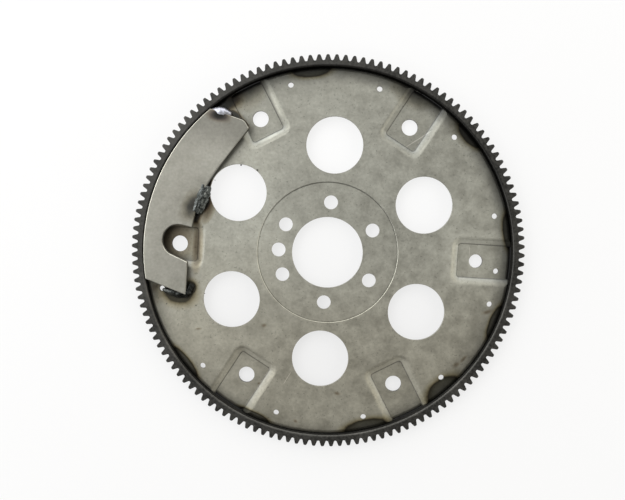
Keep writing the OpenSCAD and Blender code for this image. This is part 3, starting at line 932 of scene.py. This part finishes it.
lowerWeld = {
    "node": "weight_weld_lower", "seed": 5,
    "step": 0.0014, "overlap": 1.5, "taper": 0.6, "uneven": 0.10, "stray": 0.0003, "lay": 14,
    "voxel": 0.00035, "lumps": 0.0006, "lumpSize": 0.003, "smooth": 2,
    "route": [(-0.1471, -0.0427), (-0.1396, -0.0446), (-0.1322, -0.0460), (-0.1267, -0.0447),
              (-0.1234, -0.0376)],
    "rows": [
        {"out": 0.0000, "height": 0.0040, "wide": 0.0024, "tall": 0.0030},
        {"out": 0.0012, "height": 0.0022, "wide": 0.0028, "tall": 0.0028},
    ],
    "finish": {
        # the light and spark colours paint highlight speckles on the bead
        "dark": (0.020, 0.022, 0.020), "light": (0.130, 0.138, 0.134), "spark": (0.55, 0.57, 0.55),
        "metallic": 0.9, "rough": (0.28, 0.45), "grain": 380.0, "bump": 0.3,
        "streak": 2.5, "streakTurn": -16,
        "sootStart": -0.1420, "sootEnd": -0.1310, "sootTone": 0.22,     # clean at its start only
    },
}
for name, bead in (("upperWeldBead", upperWeld), ("innerWeldBead", innerWeld), ("lowerWeldBead", lowerWeld)):
    piece = meltBead(name, bead)
    cutFlat(piece, plateFace, True)
    finishPiece(piece, makeWeldMetal(name + "Metal", bead["finish"]), bead["node"])
    print(name, "finished:", len(piece.data.polygons), "faces")

# Ring beads on the back: one is modelled, then copied round the rim
ringWeld = {
    "seed": 11,
    "step": 0.0015, "overlap": 1.5, "taper": 0.6, "uneven": 0.06, "stray": 0.0002, "lay": 15,
    "voxel": 0.00045, "lumps": 0.0004, "lumpSize": 0.003, "smooth": 2,
    "outset": 0.0010,       # beyond the rim's outer face
    "below": 0.0004,        # under the ring's back
    "wide": 0.0019,
    "tall": 0.0017,
    "halfSpan": 3.7,        # degrees
    "angles": [10, 44, 66, 98, 126, 160, 194, 221, 249, 286, 313, 341],
    "finish": {
        "dark": (0.030, 0.029, 0.026), "light": (0.12, 0.118, 0.11), "spark": (0.20, 0.196, 0.185),
        "metallic": 0.9, "rough": (0.3, 0.5), "grain": 420.0, "bump": 0.4,
        "streak": 1.0, "streakTurn": 0,
    },
}
ringWeld["route"] = [polar(ringWeld["halfSpan"] * share, rimRadius + ringWeld["outset"])
                     for share in (-1, -0.5, 0, 0.5, 1)]
ringWeld["rows"] = [{"out": 0.0, "height": ringBack - ringWeld["below"],
                     "wide": ringWeld["wide"], "tall": ringWeld["tall"]}]
firstBead = meltBead("ringWeldBeads", ringWeld)
cutFlat(firstBead, ringBack, False)
beadCopies = [firstBead]
for angle in ringWeld["angles"][1:]:
    bpy.ops.object.select_all(action="DESELECT")
    firstBead.select_set(True)
    bpy.context.view_layer.objects.active = firstBead
    bpy.ops.object.duplicate()
    bpy.context.object.rotation_euler.z = math.radians(angle)
    beadCopies.append(bpy.context.object)
firstBead.rotation_euler.z = math.radians(ringWeld["angles"][0])
for bead in beadCopies:
    bead.select_set(True)
bpy.context.view_layer.objects.active = firstBead
bpy.ops.object.transform_apply(location=True, rotation=True, scale=True)
bpy.ops.object.join()
finishPiece(firstBead, makeWeldMetal("ringWeldMetal", ringWeld["finish"]), "ring_welds")
print("ring beads finished:", len(beadCopies), "copies")

# Balls of spatter that stuck to the face beside the welds, as (x, y, radius)
spatterSet = {
    "segments": 12,
    "rings": 8,
    "squash": 0.7,
    "lift": 0.6,            # share of a ball's half height that its middle stands above the face
    "balls": [
        (-0.0834, 0.0750, 0.00075),
        (-0.0683, 0.0714, 0.00070),
        (-0.0862, 0.1135, 0.00040),
        (-0.0790, 0.1190, 0.00032),
        (-0.1065, 0.0600, 0.00040),
        (-0.1160, 0.0165, 0.00045),
        (-0.1105, -0.0445, 0.00040),
        (-0.1180, -0.0560, 0.00045),
        (-0.1300, -0.0600, 0.00035),
        (-0.1452, -0.0560, 0.00040),
    ],
    "finish": {
        "dark": (0.020, 0.020, 0.019), "light": (0.08, 0.078, 0.072), "spark": (0.10, 0.098, 0.09),
        "metallic": 0.8, "rough": (0.3, 0.5), "grain": 600.0, "bump": 0.3,
        "streak": 1.0, "streakTurn": 0,
    },
}
bpy.ops.object.select_all(action="DESELECT")
bpy.ops.mesh.primitive_uv_sphere_add(
    segments=spatterSet["segments"], ring_count=spatterSet["rings"], radius=1)
spatter = bpy.context.object
spatter.name = "weldSpatter"
bpy.ops.object.mode_set(mode="EDIT")
bpy.ops.mesh.delete(type="VERT")
for x, y, radius in spatterSet["balls"]:
    middle = plateFace + radius * spatterSet["squash"] * spatterSet["lift"]
    bpy.ops.mesh.primitive_uv_sphere_add(
        segments=spatterSet["segments"], ring_count=spatterSet["rings"], radius=radius,
        location=(x, y, middle), scale=(1, 1, spatterSet["squash"]))
bpy.ops.object.mode_set(mode="OBJECT")
bpy.ops.object.shade_smooth()
finishPiece(spatter, makeWeldMetal("spatterMetal", spatterSet["finish"]))
print("spatter finished:", len(spatterSet["balls"]), "balls")
